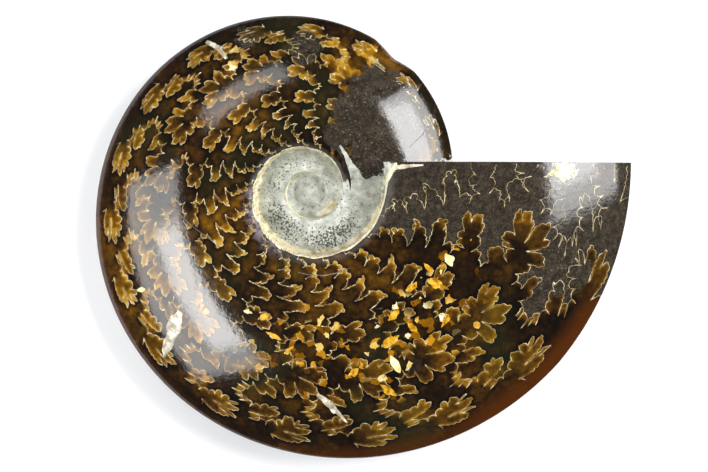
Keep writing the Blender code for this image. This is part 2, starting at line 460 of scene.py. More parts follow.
# Innermost turn: a horn that widens from the rim of the nucleus to a full strip, and the nucleus itself
def makeNucleusNet():
    rimRadius = coil["seamRatio"] * float(keelAt(innerSeam[0]))
    rimHeight = seamRise * float(halfHeight(innerSeam[0]))
    across = (innerRatios - coil["seamRatio"]) / (coverRatio - coil["seamRatio"])
    endHeights = sectionRise(innerRatios) * float(halfHeight(innerSeam[0]))
    bulge = endHeights - rimHeight - (endHeights[-1] - rimHeight) * across
    columns = np.arange(0, len(innerRatios), 2)
    columns = np.unique(np.append(columns, len(innerRatios) - 1))
    corners, faces = [], []

    def place(radius, angle, height):
        corners.append((angle, math.log(radius / float(keelAt(angle))), height / float(halfHeight(angle))))
        return len(corners) - 1

    last = net["turnRows"]
    rows = []
    for row in range(last + 1):
        fullness = (row / last) ** net["bulgePower"]
        angle = innerSeam[row]
        edgeRadius = coil["seamRatio"] * float(keelAt(angle))
        edgeHeight = seamRise * float(halfHeight(angle))
        picked = np.arange(len(innerRatios)) if row == last else columns
        rows.append([])
        for column in picked:
            radius = rimRadius + (edgeRadius - rimRadius) * across[column]
            height = rimHeight + (edgeHeight - rimHeight) * across[column] + bulge[column] * fullness
            rows[-1].append(place(radius, angle, height))
    for row in range(1, last - 1):
        for k in range(len(columns) - 1):
            a, b, c, d = rows[row][k], rows[row][k + 1], rows[row + 1][k + 1], rows[row + 1][k]
            faces += [(a, b, c), (a, c, d)]
    for k in range(len(columns) - 1):  # the horn's tip, and its mouth with every column
        faces.append((rows[0][0], rows[1][k + 1], rows[1][k]))
        a, b, d = rows[last - 1][k], rows[last - 1][k + 1], columns[k]
        chain = [rows[last][column] for column in range(columns[k], columns[k + 1] + 1)]
        faces += [(a, chain[j + 1], chain[j]) for j in range(len(chain) - 1)] + [(a, b, chain[-1])]
    rings = net["nucleusRings"]
    ringRows = [[row[0] for row in rows[:-1]]]
    for ring in range(1, rings):
        share = 1 - ring / rings
        height = rimHeight + coil["nucleusRise"] * (1 - share * share)
        ringRows.append([place(rimRadius * share, innerSeam[row], height) for row in range(last)])
    middle = place(1e-6, innerSeam[0], rimHeight + coil["nucleusRise"])
    for outer, inner in zip(ringRows, ringRows[1:]):
        for row in range(last):
            a, b = outer[row], outer[(row + 1) % last]
            c, d = inner[(row + 1) % last], inner[row]
            faces += [(a, b, c), (a, c, d)]
    faces += [(ringRows[-1][row], ringRows[-1][(row + 1) % last], middle) for row in range(last)]
    return np.array(corners), np.array(faces)


# Half of the sawn face, from the middle plane up to the seam, worked out flat and turned back to coil terms
def makeMouthNet():
    ratios = sectionRatios()
    coverColumn = int(np.argmin(abs(ratios - coverRatio)))
    outline = []
    for turns, columns in ((1, range(len(ratios))), (0, range(len(ratios) - 1, coverColumn, -1))):
        for column in columns:
            ratio = ratios[column]
            angle = float(mouthAngle(ratio, turns))
            radius = ratio * float(keelAt(angle)) * math.exp(float(wearShift(angle, ratio)))
            height = float(sectionRise(ratio) * halfHeight(angle))
            outline.append((math.sqrt(radius ** 2 - coil["mouthOffset"] ** 2), height))
    keelOut, keelIn = outline[len(ratios) - 1], outline[len(ratios)]
    spacing = net["mouthSpacing"]
    base = np.linspace(keelOut[0], keelIn[0], int((keelOut[0] - keelIn[0]) / spacing))[1:-1]
    outline[len(ratios):len(ratios)] = [(x, 0.0) for x in base]
    tree = pointTree(outline)
    points = list(outline)
    low, high = min(x for x, _ in outline), max(x for x, _ in outline)
    rowCount = int(coil["halfThickness"] * net["mouthReach"] / (spacing * net["mouthRow"]))
    for i in range(1, rowCount):
        for j in range(int((high - low) / spacing)):
            spot = (low + (j + i % 2 / 2) * spacing, i * spacing * net["mouthRow"])
            if tree.find((*spot, 0))[2] > spacing * net["mouthClearance"]:
                points.append(spot)
    edges = [(i, (i + 1) % len(outline)) for i in range(len(outline))]
    flat, _, faces, _, _, _ = geometry.delaunay_2d_cdt([Vector(p) for p in points], edges, [], 1, 1e-8)
    corners = []
    for x, z in flat:
        angle = fullTurn + math.atan2(coil["mouthOffset"], x)
        ratio = math.hypot(x, coil["mouthOffset"]) / float(keelAt(angle))
        corners.append((angle, math.log(ratio), z / float(halfHeight(angle))))
    return np.array(corners), np.array([f[:3] for f in faces])


nucleusCorners, nucleusFaces = makeNucleusNet()
mouthCorners, mouthFaces = makeMouthNet()
print("nucleus faces:", len(nucleusFaces), "sawn face:", len(mouthFaces))


# Corners that meet at a point and aren't parted by a suture share a group, and faces likewise
def groupNet(faces, lineEdges):
    cornerOf, faceOf = list(range(faces.size)), list(range(len(faces)))

    def root(parents, i):
        while parents[i] != i:
            parents[i] = parents[parents[i]]
            i = parents[i]
        return i

    met = {}
    for face, triple in enumerate(faces.tolist()):
        for k in range(3):
            a, b = triple[k], triple[(k + 1) % 3]
            key = (a, b) if a < b else (b, a)
            if key in lineEdges:
                continue
            pair = (3 * face + k, 3 * face + (k + 1) % 3)
            pair = pair if a < b else pair[::-1]
            if key in met:
                otherFace, otherPair = met[key]
                faceOf[root(faceOf, face)] = root(faceOf, otherFace)
                for mine, theirs in zip(pair, otherPair):
                    cornerOf[root(cornerOf, mine)] = root(cornerOf, theirs)
            else:
                met[key] = (face, pair)
    corners = np.array([root(cornerOf, i) for i in range(faces.size)])
    chambers = np.array([root(faceOf, i) for i in range(len(faces))])
    return np.unique(corners, return_inverse=True)[1], np.unique(chambers, return_inverse=True)[1]


# Lines stood up as low walls, so that rays in the plane can find them
def wallTree(lines):
    points, quads = [], []
    for line in lines:
        base = len(points)
        for a, q in line:
            points += [(a, q, -1), (a, q, 1)]
        quads += [(base + 2 * i, base + 2 * i + 1, base + 2 * i + 3, base + 2 * i + 2)
                  for i in range(len(line) - 1)]
    return BVHTree.FromPolygons(points, quads)


# How many sutures lie behind each chamber: 0 for the oldest in view
def numberChambers(corners, faces, chambers):
    trees = [wallTree([line]) for line, _ in flankLines]
    centres = corners[faces].mean(axis=1)
    sides = corners[faces]
    areas = abs(np.cross(sides[:, 1] - sides[:, 0], sides[:, 2] - sides[:, 0]))
    areas[centres[:, 1] < suture["end"]] *= 0.001  # a chamber is judged away from the seam
    numbers = np.zeros(chambers.max() + 1, int)
    for chamber in range(len(numbers)):
        members = np.flatnonzero(chambers == chamber)
        start = centres[members[np.argmax(areas[members])]]
        for tree in trees:
            crossings, spot = 0, Vector((*start, 0.0001))
            hit = tree.ray_cast(spot, Vector((-1, 0, 0)))[0]
            while hit is not None:
                crossings += 1
                spot = hit + Vector((-1e-6, 0, 0))
                hit = tree.ray_cast(spot, Vector((-1, 0, 0)))[0]
            numbers[chamber] += crossings % 2
    return numbers[chambers]


# How closely the sutures fold round each group of corners, 0 in the open and 1 in the tip of a fold: the
# chamber's front suture in its saddles, and its back suture in its lobes. Then the distance to the nearest.
def foldShares(corners, faces, groups, numbers):
    centres = np.repeat(corners[faces].mean(axis=1), 3, axis=0)
    spots = corners[faces.ravel()] * (1 - net["inset"]) + centres * net["inset"]
    count = groups.max() + 1
    members = np.bincount(groups, minlength=count)
    where = np.stack([np.bincount(groups, spots[:, k], count) / members for k in range(2)], axis=1)
    chamberOf = np.zeros(count, int)
    chamberOf[groups] = np.repeat(numbers, 3)
    lines = [line for line, _ in flankLines]
    tree = wallTree(lines)
    lineOf = np.repeat(np.arange(len(lines)), [len(line) - 1 for line in lines])
    turns = np.arange(net["rays"]) * fullTurn / net["rays"] + 0.1
    directions = [Vector((math.cos(turn), math.sin(turn), 0)) for turn in turns]
    reach = net["reach"]
    front, back, nearest = np.zeros(count), np.zeros(count), np.full(count, reach)
    for i, (a, q) in enumerate(where.tolist()):
        spot = Vector((a, q, 0.0001))
        for direction in directions:
            _, _, index, distance = tree.ray_cast(spot, direction, reach)
            if index is not None:
                share = (1 - (distance / reach) ** 2) / net["rays"]
                if lineOf[index] >= chamberOf[i]:
                    front[i] += share
                else:
                    back[i] += share
                nearest[i] = min(nearest[i], distance)
    return front, back, nearest


cornerGroup, faceChamber = groupNet(stripFaces, lineEdges)
chamberNumber = numberChambers(stripCorners, stripFaces, faceChamber)
saddleShare, lobeShare, lineDistance = foldShares(stripCorners, stripFaces, cornerGroup, chamberNumber)
print("chambers:", chamberNumber.max() + 1, "corner groups:", len(saddleShare))


# What fills the chambers. Patches are degrees, log ratio, half width in degrees, half height, and strength.
# A patch is full within about half of that, and gone at one and a half times.
filling = {
    "bodyChamber": 17,  # this chamber and newer ones hold matrix and no calcite
    "matrix": [(343, -0.17, 7, 0.10, 1.0), (92, -0.22, 8, 0.16, 0.9), (112, -0.10, 7, 0.09, 0.7),
               (40, -0.55, 34, 0.52, 1.0), (15, -0.9, 20, 0.5, 1.0), (60, -1.0, 16, 0.25, 0.9)],
    "chalk": [(8, -1.12, 12, 0.22, 1.0)],
    "cream": [(364.5, -0.26, 3.2, 0.055, 0.72), (-41, -1.60, 30, 0.13, 1.0)],
    "speckled": [(-130, -0.97, 32, 0.24, 1.0), (-65, -0.88, 30, 0.20, 1.0), (-210, -1.0, 40, 0.2, 0.5)],
    "chalkStart": 13,  # degrees on the older whorl before which it is chalk
    "chalkFade": 0.12,  # radians over which it turns to chalk
    "dullBelow": 0.28,  # ratio of the radius below which the body whorl isn't polished
    "dullFade": 0.06,
    "seed": 5,
    "violet": [(213, -1.34, 36, 0.09, 1.0), (-160, -1.0, 40, 0.22, 0.55), (-225, -0.8, 30, 0.12, 0.9)],
    "amberLit": [(215, -0.95, 60, 0.55, 1.1), (150, -0.75, 60, 0.5, 1.1), (285, -1.1, 50, 0.35, 1.1),
                 (110, -0.35, 30, 0.25, 1.0), (190, -0.2, 60, 0.2, 1.1), (320, -0.35, 25, 0.12, 0.2),
                 (61, -0.07, 10, 0.10, 1.7), (76, -0.24, 10, 0.20, 1.0), (96, -0.10, 14, 0.12, 0.8)],
    "shattered": [(285, -0.55, 40, 0.30, 1.0), (312, -0.42, 16, 0.16, 0.9), (330, -0.62, 14, 0.14, 0.7),
                  (112, -0.2, 24, 0.16, 0.55)],
    "keelGlow": [(322, 0.0, 26, 0.055, 0.9), (285, 0.0, 22, 0.04, 0.6), (195, 0.0, 50, 0.03, 0.5)],
}


maskNames = ("chalk", "cream", "speckled", "matrix", "violet", "shattered", "keelGlow", "amberLit")


def patchMask(angles, logRatios, patches):
    mask = np.zeros(len(angles))
    for degrees, q, halfWidth, halfHeightOf, strength in patches:
        far = np.hypot((np.degrees(angles) - degrees) / halfWidth, (logRatios - q) / halfHeightOf)
        mask = np.maximum(mask, strength * np.clip(1.6 - 1.1 * far, 0, 1))
    return mask


# The cream rim of the umbilicus: its middle against the keel radius, which flares where the mouth is sawn off
ring = {
    "ratio": 0.243,
    "flare": 0.034,
    "flareStart": math.radians(366),
    "flareArc": math.radians(9.8),
    "halfShare": 0.033,  # half its width against its radius
    "innerShare": 0.026,  # the same on the older whorls
    "crest": 0.00012,  # metres above the skin
    "shelf": 0.085,  # how far its cream runs on over the older whorl, as a log ratio
    "shelfMiddle": 4.4,  # where that is strongest, and where it ends, in radians
    "shelfEnd": 0.3,
    "wallMargin": 0.004,  # ratio by which the chalk of the wall reaches past the rim's middle
    "wallFade": 0.02,
    "flarePower": 1.3,
    "rippleWaves": 90,  # strays of the rim along its length
    "ripple": 0.004,  # their size, as a log ratio
    "widthRipple": 0.15,  # and as a share of the rim's width
    "seed": 3,
}


def ringRatio(angle):
    along = np.clip((angle - ring["flareStart"]) / ring["flareArc"], 0, 1)
    return ring["ratio"] + ring["flare"] * along ** ring["flarePower"]


# Values for the strip, then the same number for all that follows
def padded(values, size, rest=0.0):
    return np.concatenate([values, np.full(size - len(values), rest)])


# The flat skin: strip, nucleus and sawn face in one mesh, with what the materials read
def makeFlatSkin():
    stripRise = sectionRise(np.exp(stripCorners[:, 1]))
    strip = np.column_stack([stripCorners, stripRise])
    strip[:, 1] += wearShift(strip[:, 0], np.exp(strip[:, 1]))
    corners = np.concatenate([strip, nucleusCorners, mouthCorners])
    nucleusBase, mouthBase = len(strip), len(strip) + len(nucleusCorners)
    faces = np.concatenate([stripFaces, nucleusFaces + nucleusBase, mouthFaces + mouthBase])
    mesh = bpy.data.meshes.new("flat_skin")
    mesh.from_pydata(corners.tolist(), [], faces.tolist())

    inBody = padded(chamberNumber >= filling["bodyChamber"], len(faces))
    zone = np.repeat([0, 1, 2], [len(stripFaces), len(nucleusFaces), len(mouthFaces)])
    tones = np.random.default_rng(filling["seed"]).uniform(0, 1, 40)  # one for each chamber, and to spare
    tone = padded(tones[chamberNumber], len(faces), 0.5)
    saddle = padded(saddleShare[cornerGroup], faces.size)
    lobe = padded(lobeShare[cornerGroup], faces.size)
    near = padded(lineDistance[cornerGroup], faces.size, net["reach"])
    radii = keelAt(corners[faces.ravel(), 0]) * np.exp(corners[faces.ravel(), 1])

    inner = np.clip((math.radians(filling["chalkStart"]) - corners[:, 0]) / filling["chalkFade"] + 0.5, 0, 1)
    inner[nucleusBase:mouthBase] = 1
    wall = np.log(ringRatio(corners[:, 0]) + ring["wallMargin"]) - corners[:, 1]
    wall = np.clip(wall / ring["wallFade"], 0, 1)
    masks = {name: patchMask(corners[:, 0], corners[:, 1], filling[name]) for name in maskNames}
    for name, mask in masks.items():
        mask[mouthBase if name in ("cream", "speckled", "violet") else nucleusBase:] = 0
    shelf = np.clip((corners[:, 1] - coverLog) / ring["shelf"] + 1, 0, 1)
    shelf *= (corners[:, 0] < ring["shelfEnd"]) & (corners[:, 1] < coverLog + 0.001)
    shelf[nucleusBase:] = 0
    strength = np.clip(1.25 + np.cos(corners[:, 0] - ring["shelfMiddle"]), 0.7, 1.4)
    masks["cream"] = np.maximum(masks["cream"], shelf * strength)
    masks["chalk"] = np.maximum(np.maximum(inner, wall), masks["chalk"])
    masks["chalk"][mouthBase:] = 0
    dull = np.clip((math.log(filling["dullBelow"]) - corners[:, 1]) / filling["dullFade"], 0, 1)
    masks["dull"] = dull * (corners[:, 0] > 0)
    for name, domain, values in (("body", "FACE", inBody), ("zone", "FACE", zone), ("tone", "FACE", tone),
                                 ("saddle", "CORNER", saddle), ("lobe", "CORNER", lobe),
                                 ("near", "CORNER", near * radii * 1000),
                                 *((name, "POINT", mask) for name, mask in masks.items())):
        attribute = mesh.attributes.new(name, "FLOAT", domain)
        attribute.data.foreach_set("value", np.asarray(values, dtype=np.float32))
    return addObject("flat_skin", mesh), corners


flatSkin, flatCorners = makeFlatSkin()


# Where the coil's own origin lies once the tilted fossil rests as the solid does
def restingPlace(corners):
    radius = keelAt(corners[:, 0]) * np.exp(corners[:, 1])
    height = halfHeight(corners[:, 0]) * corners[:, 2]
    x, y = radius * np.cos(corners[:, 0]), radius * np.sin(corners[:, 0])
    x, z = np.concatenate([x, x]), np.concatenate([height, -height])
    cosine, sine = math.cos(coil["tilt"]), math.sin(coil["tilt"])
    x, z = x * cosine - z * sine, x * sine + z * cosine
    middleX = (cadLow[0] + cadHigh[0] - x.min() - x.max()) / 2
    middleY = (cadLow[1] + cadHigh[1] - y.min() - y.max()) / 2
    return middleX, middleY, cadHigh[2] - z.max()


coilPlace = restingPlace(flatCorners)
print("coil axis at", [round(value * 1000, 2) for value in coilPlace], "mm")


# Adds a chain of Math nodes. Each row is its result's name, the operation, and numbers or earlier results.
def addMaths(tree, known, rows):
    for name, operation, *inputs in rows:
        sockets = {i: known.get(value, value) if isinstance(value, str) else value
                   for i, value in enumerate(inputs)}
        known[name] = addNode(tree, "ShaderNodeMath", {"operation": operation}, sockets).outputs[0]
    return known


# A geometry tree that takes geometry and some numbers, and gives geometry
def newTree(name, numbers):
    tree = bpy.data.node_groups.new(name, "GeometryNodeTree")
    tree.interface.new_socket("Geometry", in_out="INPUT", socket_type="NodeSocketGeometry")
    for label, value in numbers:
        tree.interface.new_socket(label, in_out="INPUT", socket_type="NodeSocketFloat").default_value = value
    tree.interface.new_socket("Geometry", in_out="OUTPUT", socket_type="NodeSocketGeometry")
    return tree, addNode(tree, "NodeGroupInput")


# The coil's sizes, which every tree takes
sizeInputs = [("Keel radius", coil["keelRadius"]), ("Growth", growth),
              ("Half thickness", coil["halfThickness"]), ("Thickening", coil["thickening"])]


# The group that rolls flat geometry up: angle, log ratio and rise become a place on the coil
def makeCoilRule():
    group, start = newTree("coil_rule", sizeInputs + [("Lift", 0.0)])
    known = {socket.name: socket for socket in start.outputs}
    position = addNode(group, "GeometryNodeInputPosition")
    flat = addNode(group, "ShaderNodeSeparateXYZ", None, {0: position.outputs[0]})
    known.update(angle=flat.outputs[0], logRatio=flat.outputs[1], rise=flat.outputs[2])
    addMaths(group, known, [
        ("turnsBack", "SUBTRACT", "angle", fullTurn),
        ("exponent", "MULTIPLY", "turnsBack", "Growth"),
        ("scale", "EXPONENT", "exponent"),
        ("keel", "MULTIPLY", "scale", "Keel radius"),
        ("ratio", "EXPONENT", "logRatio"),
        ("plainRadius", "MULTIPLY", "keel", "ratio"),
        ("outward", "POWER", "ratio", 6.0),
        ("radius", "MULTIPLY_ADD", "outward", "Lift", "plainRadius"),
        ("cosine", "COSINE", "angle"),
        ("sine", "SINE", "angle"),
        ("x", "MULTIPLY", "radius", "cosine"),
        ("y", "MULTIPLY", "radius", "sine"),
        ("thickening", "POWER", "scale", "Thickening"),
        ("thickness", "MULTIPLY", "thickening", "Half thickness"),
        ("z", "MULTIPLY_ADD", "thickness", "rise", "Lift"),
    ])
    place = addNode(group, "ShaderNodeCombineXYZ", None, {0: known["x"], 1: known["y"], 2: known["z"]})
    rolled = addNode(group, "GeometryNodeSetPosition", None,
                     {"Geometry": start.outputs["Geometry"], "Position": place.outputs[0]})
    end = addNode(group, "NodeGroupOutput")
    group.links.new(rolled.outputs[0], end.inputs[0])
    return group


coilRule = makeCoilRule()


bodyMerge, lineMerge = 0.000005, 0.000001  # metres within which points become one
lineFloor = 0.00002  # how far lines stay above the floor


# Both flanks from one: the rolled half, its mirror image, then the tilt and the place at rest
def addBothSides(tree, rolled, material, mergeDistance, floorLevel):
    under = addNode(tree, "GeometryNodeTransform", None, {"Geometry": rolled, "Scale": (1, 1, -1)})
    turned = addNode(tree, "GeometryNodeFlipFaces", None, {"Mesh": under.outputs[0]})
    upperSide, lowerSide = (addNode(tree, "GeometryNodeStoreNamedAttribute",
                                    {"data_type": "FLOAT", "domain": "POINT"},
                                    {"Geometry": half, "Name": "under", "Value": value}).outputs[0]
                            for half, value in ((rolled, 0.0), (turned.outputs[0], 1.0)))
    both = addNode(tree, "GeometryNodeJoinGeometry")
    tree.links.new(lowerSide, both.inputs[0])
    tree.links.new(upperSide, both.inputs[0])
    merged = addNode(tree, "GeometryNodeMergeByDistance", None,
                     {"Geometry": both.outputs[0], "Distance": mergeDistance})
    tilted = addNode(tree, "GeometryNodeTransform", None,
                     {"Geometry": merged.outputs[0], "Rotation": (0, -coil["tilt"], 0)})
    settled = addNode(tree, "GeometryNodeTransform", None,
                      {"Geometry": tilted.outputs[0], "Translation": coilPlace})
    position = addNode(tree, "GeometryNodeInputPosition")
    ground = addNode(tree, "ShaderNodeVectorMath", {"operation": "MAXIMUM"},
                     {0: position.outputs[0], 1: (-1, -1, floorLevel)})
    rested = addNode(tree, "GeometryNodeSetPosition", None,
                     {"Geometry": settled.outputs[0], "Position": ground.outputs[0]})
    smooth = addNode(tree, "GeometryNodeSetShadeSmooth", None, {"Geometry": rested.outputs[0]})
    real = addNode(tree, "GeometryNodeRealizeInstances", None, {"Geometry": smooth.outputs[0]})
    painted = addNode(tree, "GeometryNodeSetMaterial", None,
                      {"Geometry": real.outputs[0], "Material": material})
    end = addNode(tree, "NodeGroupOutput")
    tree.links.new(painted.outputs[0], end.inputs[0])


# Runs a tree on an object and gives the result as a plain mesh piece
def bakePiece(name, source, tree, settings):
    modifier = source.modifiers.new("coil", "NODES")
    modifier.node_group = tree
    for item in tree.interface.items_tree:
        if item.in_out == "INPUT" and item.name in settings:
            modifier[item.identifier] = settings[item.name]
    evaluated = source.evaluated_get(bpy.context.evaluated_depsgraph_get())
    mesh = bpy.data.meshes.new_from_object(evaluated)
    mesh.name = name
    source.modifiers.remove(modifier)
    return addObject(name, mesh)


# Rolls flat geometry up inside a tree
def addRolled(tree, start, flat, lift):
    inputs = {name: start.outputs[name] for name, _ in sizeInputs}
    inputs.update({"Geometry": flat, "Lift": lift})
    return addNode(tree, "GeometryNodeGroup", {"node_tree": coilRule}, inputs).outputs[0]


# Materials
def newMaterial(name):
    material = bpy.data.materials.new(name)
    material.use_nodes = True
    tree = material.node_tree
    tree.nodes.clear()
    shader = addNode(tree, "ShaderNodeBsdfPrincipled")
    addNode(tree, "ShaderNodeOutputMaterial", None, {"Surface": shader.outputs[0]})
    return material, tree, shader


# Polished amber calcite and dark matrix: what fills the shell. Calcite lets light in, so that folds of the
# suture glow gold where it comes back off them, and the open middle of a chamber is nearly black.
calcite = {
    "depths": [(0.0, "#0c0602"), (0.16, "#201204"), (0.32, "#422a05"), (0.46, "#654207"), (0.60, "#8b620c"),
               (0.74, "#b68a28"), (0.88, "#dcbf70"), (1.0, "#f2e6c0")],
    "olive": "#1c2010",
    "oliveGold": "#5c4f12",
    "redAmber": "#4c2400",
    "matrix": [(0.30, "#171310"), (0.48, "#2e2821"), (0.64, "#494134"), (0.78, "#6e6553")],
    "chalk": [(0.20, "#8b8f85"), (0.42, "#b5b8ad"), (0.60, "#d8dad1"), (0.80, "#f2f0e9")],
    "cream": [(0.35, "#b9a878"), (0.50, "#e2d6b0"), (0.65, "#f4eed8")],
    "speckle": "#41463d",
    "matrixFleck": "#a39882",
    "violet": "#7d7278",
    "shards": [(0.0, "#402400"), (0.45, "#8f5e00"), (0.75, "#c08a1c"), (0.92, "#e2c878"), (1.0, "#f6eed2")],
    "shardSize": 1.5,  # broken crystals, millimetres
    "shardBend": 0.0016,  # how far their edges bend, metres
    "cloudSize": 8.0,  # drifts of lighter amber, millimetres
    "grainSize": 1.5,
    "mottleSize": 0.45,
    "oliveSize": 17.0,
    "roughness": 0.09,
    "chalkRoughness": 0.55,
    "ior": 1.54,
    "bumpStrength": 0.15,
    "bumpDepth": 0.0002,  # metres
    # how much each thing lightens the amber, on the scale of the depths above
    "leafBase": 0.10,  # everywhere, then wholly inside a fold, and along the suture there
    "leafGlow": 0.14,
    "edgeGlow": 0.23,
    "openShade": -0.22,  # along the suture outside the folds
    "litGlow": 0.16,  # in the patches of amberLit
    "cloudGlow": 0.60,  # from the darkest drift to the lightest, and the same for grain and chambers
    "cloudBase": -0.28,
    "grainGlow": 0.50,
    "toneGlow": 0.12,
    "edgeReach": 0.75,  # millimetres from the suture within which a fold glows, or the open is shaded
    "shadeReach": 1.2,
}
studioWhite = 0.86  # what white paper gives back: colours are set as they look beside it


def addMix(tree, share, under, over):
    return addNode(tree, "ShaderNodeMix", {"data_type": "RGBA", "clamp_factor": True},
                   {0: share, 6: under, 7: over}).outputs[2]


def addRamp(tree, value, stops):
    ramp = addNode(tree, "ShaderNodeValToRGB", None, {0: value})
    elements = ramp.color_ramp.elements
    while len(elements) > 1:
        elements.remove(elements[-1])
    elements[0].position, elements[0].color = stops[0][0], linear(stops[0][1], studioWhite)
    for position, colour in stops[1:]:
        elements.new(position).color = linear(colour, studioWhite)
    return ramp.outputs[0]


def addClamp(tree, value):
    return addNode(tree, "ShaderNodeClamp", None, {0: value}).outputs[0]


def addNoise(tree, spots, millimetres, detail=3.0, roughness=0.55, distortion=0.0):
    return addNode(tree, "ShaderNodeTexNoise", None,
                   {"Vector": spots, "Scale": 1000 / millimetres, "Detail": detail, "Roughness": roughness,
                    "Distortion": distortion}).outputs["Fac"]


def addStep(tree, value, low, high, top=1.0):
    return addNode(tree, "ShaderNodeMapRange", {"interpolation_type": "SMOOTHSTEP"},
                   {"Value": value, "From Min": low, "From Max": high, "To Max": top}).outputs[0]


def makeSkinMaterial():
    material, tree, shader = newMaterial("polished_calcite_and_matrix")
    spots = addNode(tree, "ShaderNodeTexCoord").outputs["Object"]
    known = {name: addNode(tree, "ShaderNodeAttribute", {"attribute_name": name}).outputs["Fac"]
             for name in ("saddle", "lobe", "near", "tone", "body", "zone", "dull", *maskNames)}
    known.update(cloud=addNoise(tree, spots, calcite["cloudSize"], 3.0, 0.5, 0.6),
                 grain=addNoise(tree, spots, calcite["grainSize"], 4.0, 0.6),
                 mottle=addNoise(tree, spots, calcite["mottleSize"], 2.0),
                 drift=addNoise(tree, spots, calcite["oliveSize"], 2.0))
    known["inSaddle"] = addStep(tree, known["saddle"], 0.46, 0.86)
    known["inLobe"] = addStep(tree, known["lobe"], 0.72, 0.98, 0.8)
    known["hot"] = addStep(tree, known["near"], calcite["edgeReach"], 0.0)
    known["shade"] = addStep(tree, known["near"], calcite["shadeReach"], 0.0)
    addMaths(tree, known, [
        ("enclosed", "MAXIMUM", "inSaddle", "inLobe"),
        ("open", "SUBTRACT", 1.0, "enclosed"),
        ("leaf", "MULTIPLY_ADD", "enclosed", calcite["leafGlow"], calcite["leafBase"]),
        ("hotLeaf", "MULTIPLY", "hot", "enclosed"),
        ("leafEdge", "MULTIPLY_ADD", "hotLeaf", calcite["edgeGlow"], "leaf"),
        ("openShade", "MULTIPLY", "shade", "open"),
        ("shaded", "MULTIPLY_ADD", "openShade", calcite["openShade"], "leafEdge"),
        ("lit", "MULTIPLY_ADD", "amberLit", calcite["litGlow"], "shaded"),
        ("cloudPart", "MULTIPLY_ADD", "cloud", calcite["cloudGlow"], calcite["cloudBase"]),
        ("grainPart", "MULTIPLY_ADD", "grain", calcite["grainGlow"], -calcite["grainGlow"] / 2),
        ("tonePart", "MULTIPLY_ADD", "tone", calcite["toneGlow"], -calcite["toneGlow"] / 2),
        ("clouded", "ADD", "lit", "cloudPart"),
        ("grained", "ADD", "clouded", "grainPart"),
        ("depth", "ADD", "grained", "tonePart"),
    ])
    colour = addRamp(tree, known["depth"], calcite["depths"])
    known["oliveDrift"] = addStep(tree, known["drift"], 0.50, 0.66, 0.5)
    addMaths(tree, known, [
        ("oliveShare", "MULTIPLY", "oliveDrift", "open"),
        ("oliveLeaf", "MULTIPLY", "oliveDrift", "enclosed"),
        ("oliveGlow", "MULTIPLY", "oliveLeaf", 0.5),
        ("redShare", "MULTIPLY", "keelGlow", "open"),
    ])
    for share, tint in (("oliveGlow", "oliveGold"), ("oliveShare", "olive"), ("redShare", "redAmber")):
        colour = addMix(tree, known[share], colour, linear(calcite[tint], studioWhite))

    jitter = addNode(tree, "ShaderNodeTexNoise", None,
                     {"Vector": spots, "Scale": 1000 / calcite["grainSize"]})
    centred = addNode(tree, "ShaderNodeVectorMath", {"operation": "SUBTRACT"},
                      {0: jitter.outputs["Color"], 1: (0.5, 0.5, 0.5)})
    bent = addNode(tree, "ShaderNodeVectorMath", {"operation": "MULTIPLY_ADD"},
                   {0: centred.outputs[0], 1: (calcite["shardBend"],) * 3, 2: spots})
    cells = addNode(tree, "ShaderNodeTexVoronoi", None,  # broken crystals, each of one tone
                    {"Vector": bent.outputs[0], "Scale": 1000 / calcite["shardSize"]})
    parts = addNode(tree, "ShaderNodeSeparateColor", None, {0: cells.outputs["Color"]})
    known.update(luck=parts.outputs[0], shardShade=parts.outputs[1])
    addMaths(tree, known, [
        ("odds", "MULTIPLY_ADD", "shattered", -0.20, 1.02),
        ("won", "SUBTRACT", "luck", "odds"),
        ("shardEdge", "MULTIPLY", "won", 25.0),
        ("shadeGrain", "MULTIPLY_ADD", "grain", 0.5, -0.25),
        ("shardTone", "ADD", "shardShade", "shadeGrain"),
    ])
    known["shardShare"] = addClamp(tree, known["shardEdge"])
    colour = addMix(tree, known["shardShare"], colour, addRamp(tree, known["shardTone"], calcite["shards"]))

    addMaths(tree, known, [
        ("matrixTone", "MULTIPLY_ADD", "mottle", 0.5, 0.02),
        ("matrixValue", "MULTIPLY_ADD", "grain", 0.48, "matrixTone"),
        ("patchGrain", "MULTIPLY_ADD", "grain", 0.7, -0.85),
        ("patchy", "MULTIPLY_ADD", "cloud", 1.0, "patchGrain"),
        ("patch", "ADD", "matrix", "patchy"),
        ("patchEdge", "MULTIPLY_ADD", "patch", 6.0, -3.0),
        ("sawn", "GREATER_THAN", "zone", 1.5),
        ("solid", "MAXIMUM", "body", "sawn"),
        ("matrixShare", "MAXIMUM", "solid", "patchEdge"),
        ("fibre", "MULTIPLY_ADD", "mottle", 0.8, -0.4),
        ("ragged", "MULTIPLY_ADD", "grain", 1.4, "fibre"),
        ("raggedMiddle", "SUBTRACT", "ragged", 0.7),
        ("chalkSum", "ADD", "chalk", "raggedMiddle"),
        ("creamSum", "ADD", "cream", "raggedMiddle"),
        ("chalkStep", "MULTIPLY_ADD", "chalkSum", 6.0, -2.8),
    ])
    known["chalkShare"] = addClamp(tree, known["chalkStep"])
    known["fleck"] = addStep(tree, known["mottle"], 0.66, 0.74, 0.6)
    addMaths(tree, known, [("flecked", "MULTIPLY", "fleck", "matrix")])
    matrixColour = addMix(tree, known["flecked"], addRamp(tree, known["matrixValue"], calcite["matrix"]),
                          linear(calcite["matrixFleck"]))
    colour = addMix(tree, addClamp(tree, known["matrixShare"]), colour, matrixColour)
    known["violetDrift"] = addStep(tree, known["grain"], 0.38, 0.62)
    addMaths(tree, known, [("violetShare", "MULTIPLY", "violet", "violetDrift")])
    colour = addMix(tree, known["violetShare"], colour, linear(calcite["violet"], studioWhite))

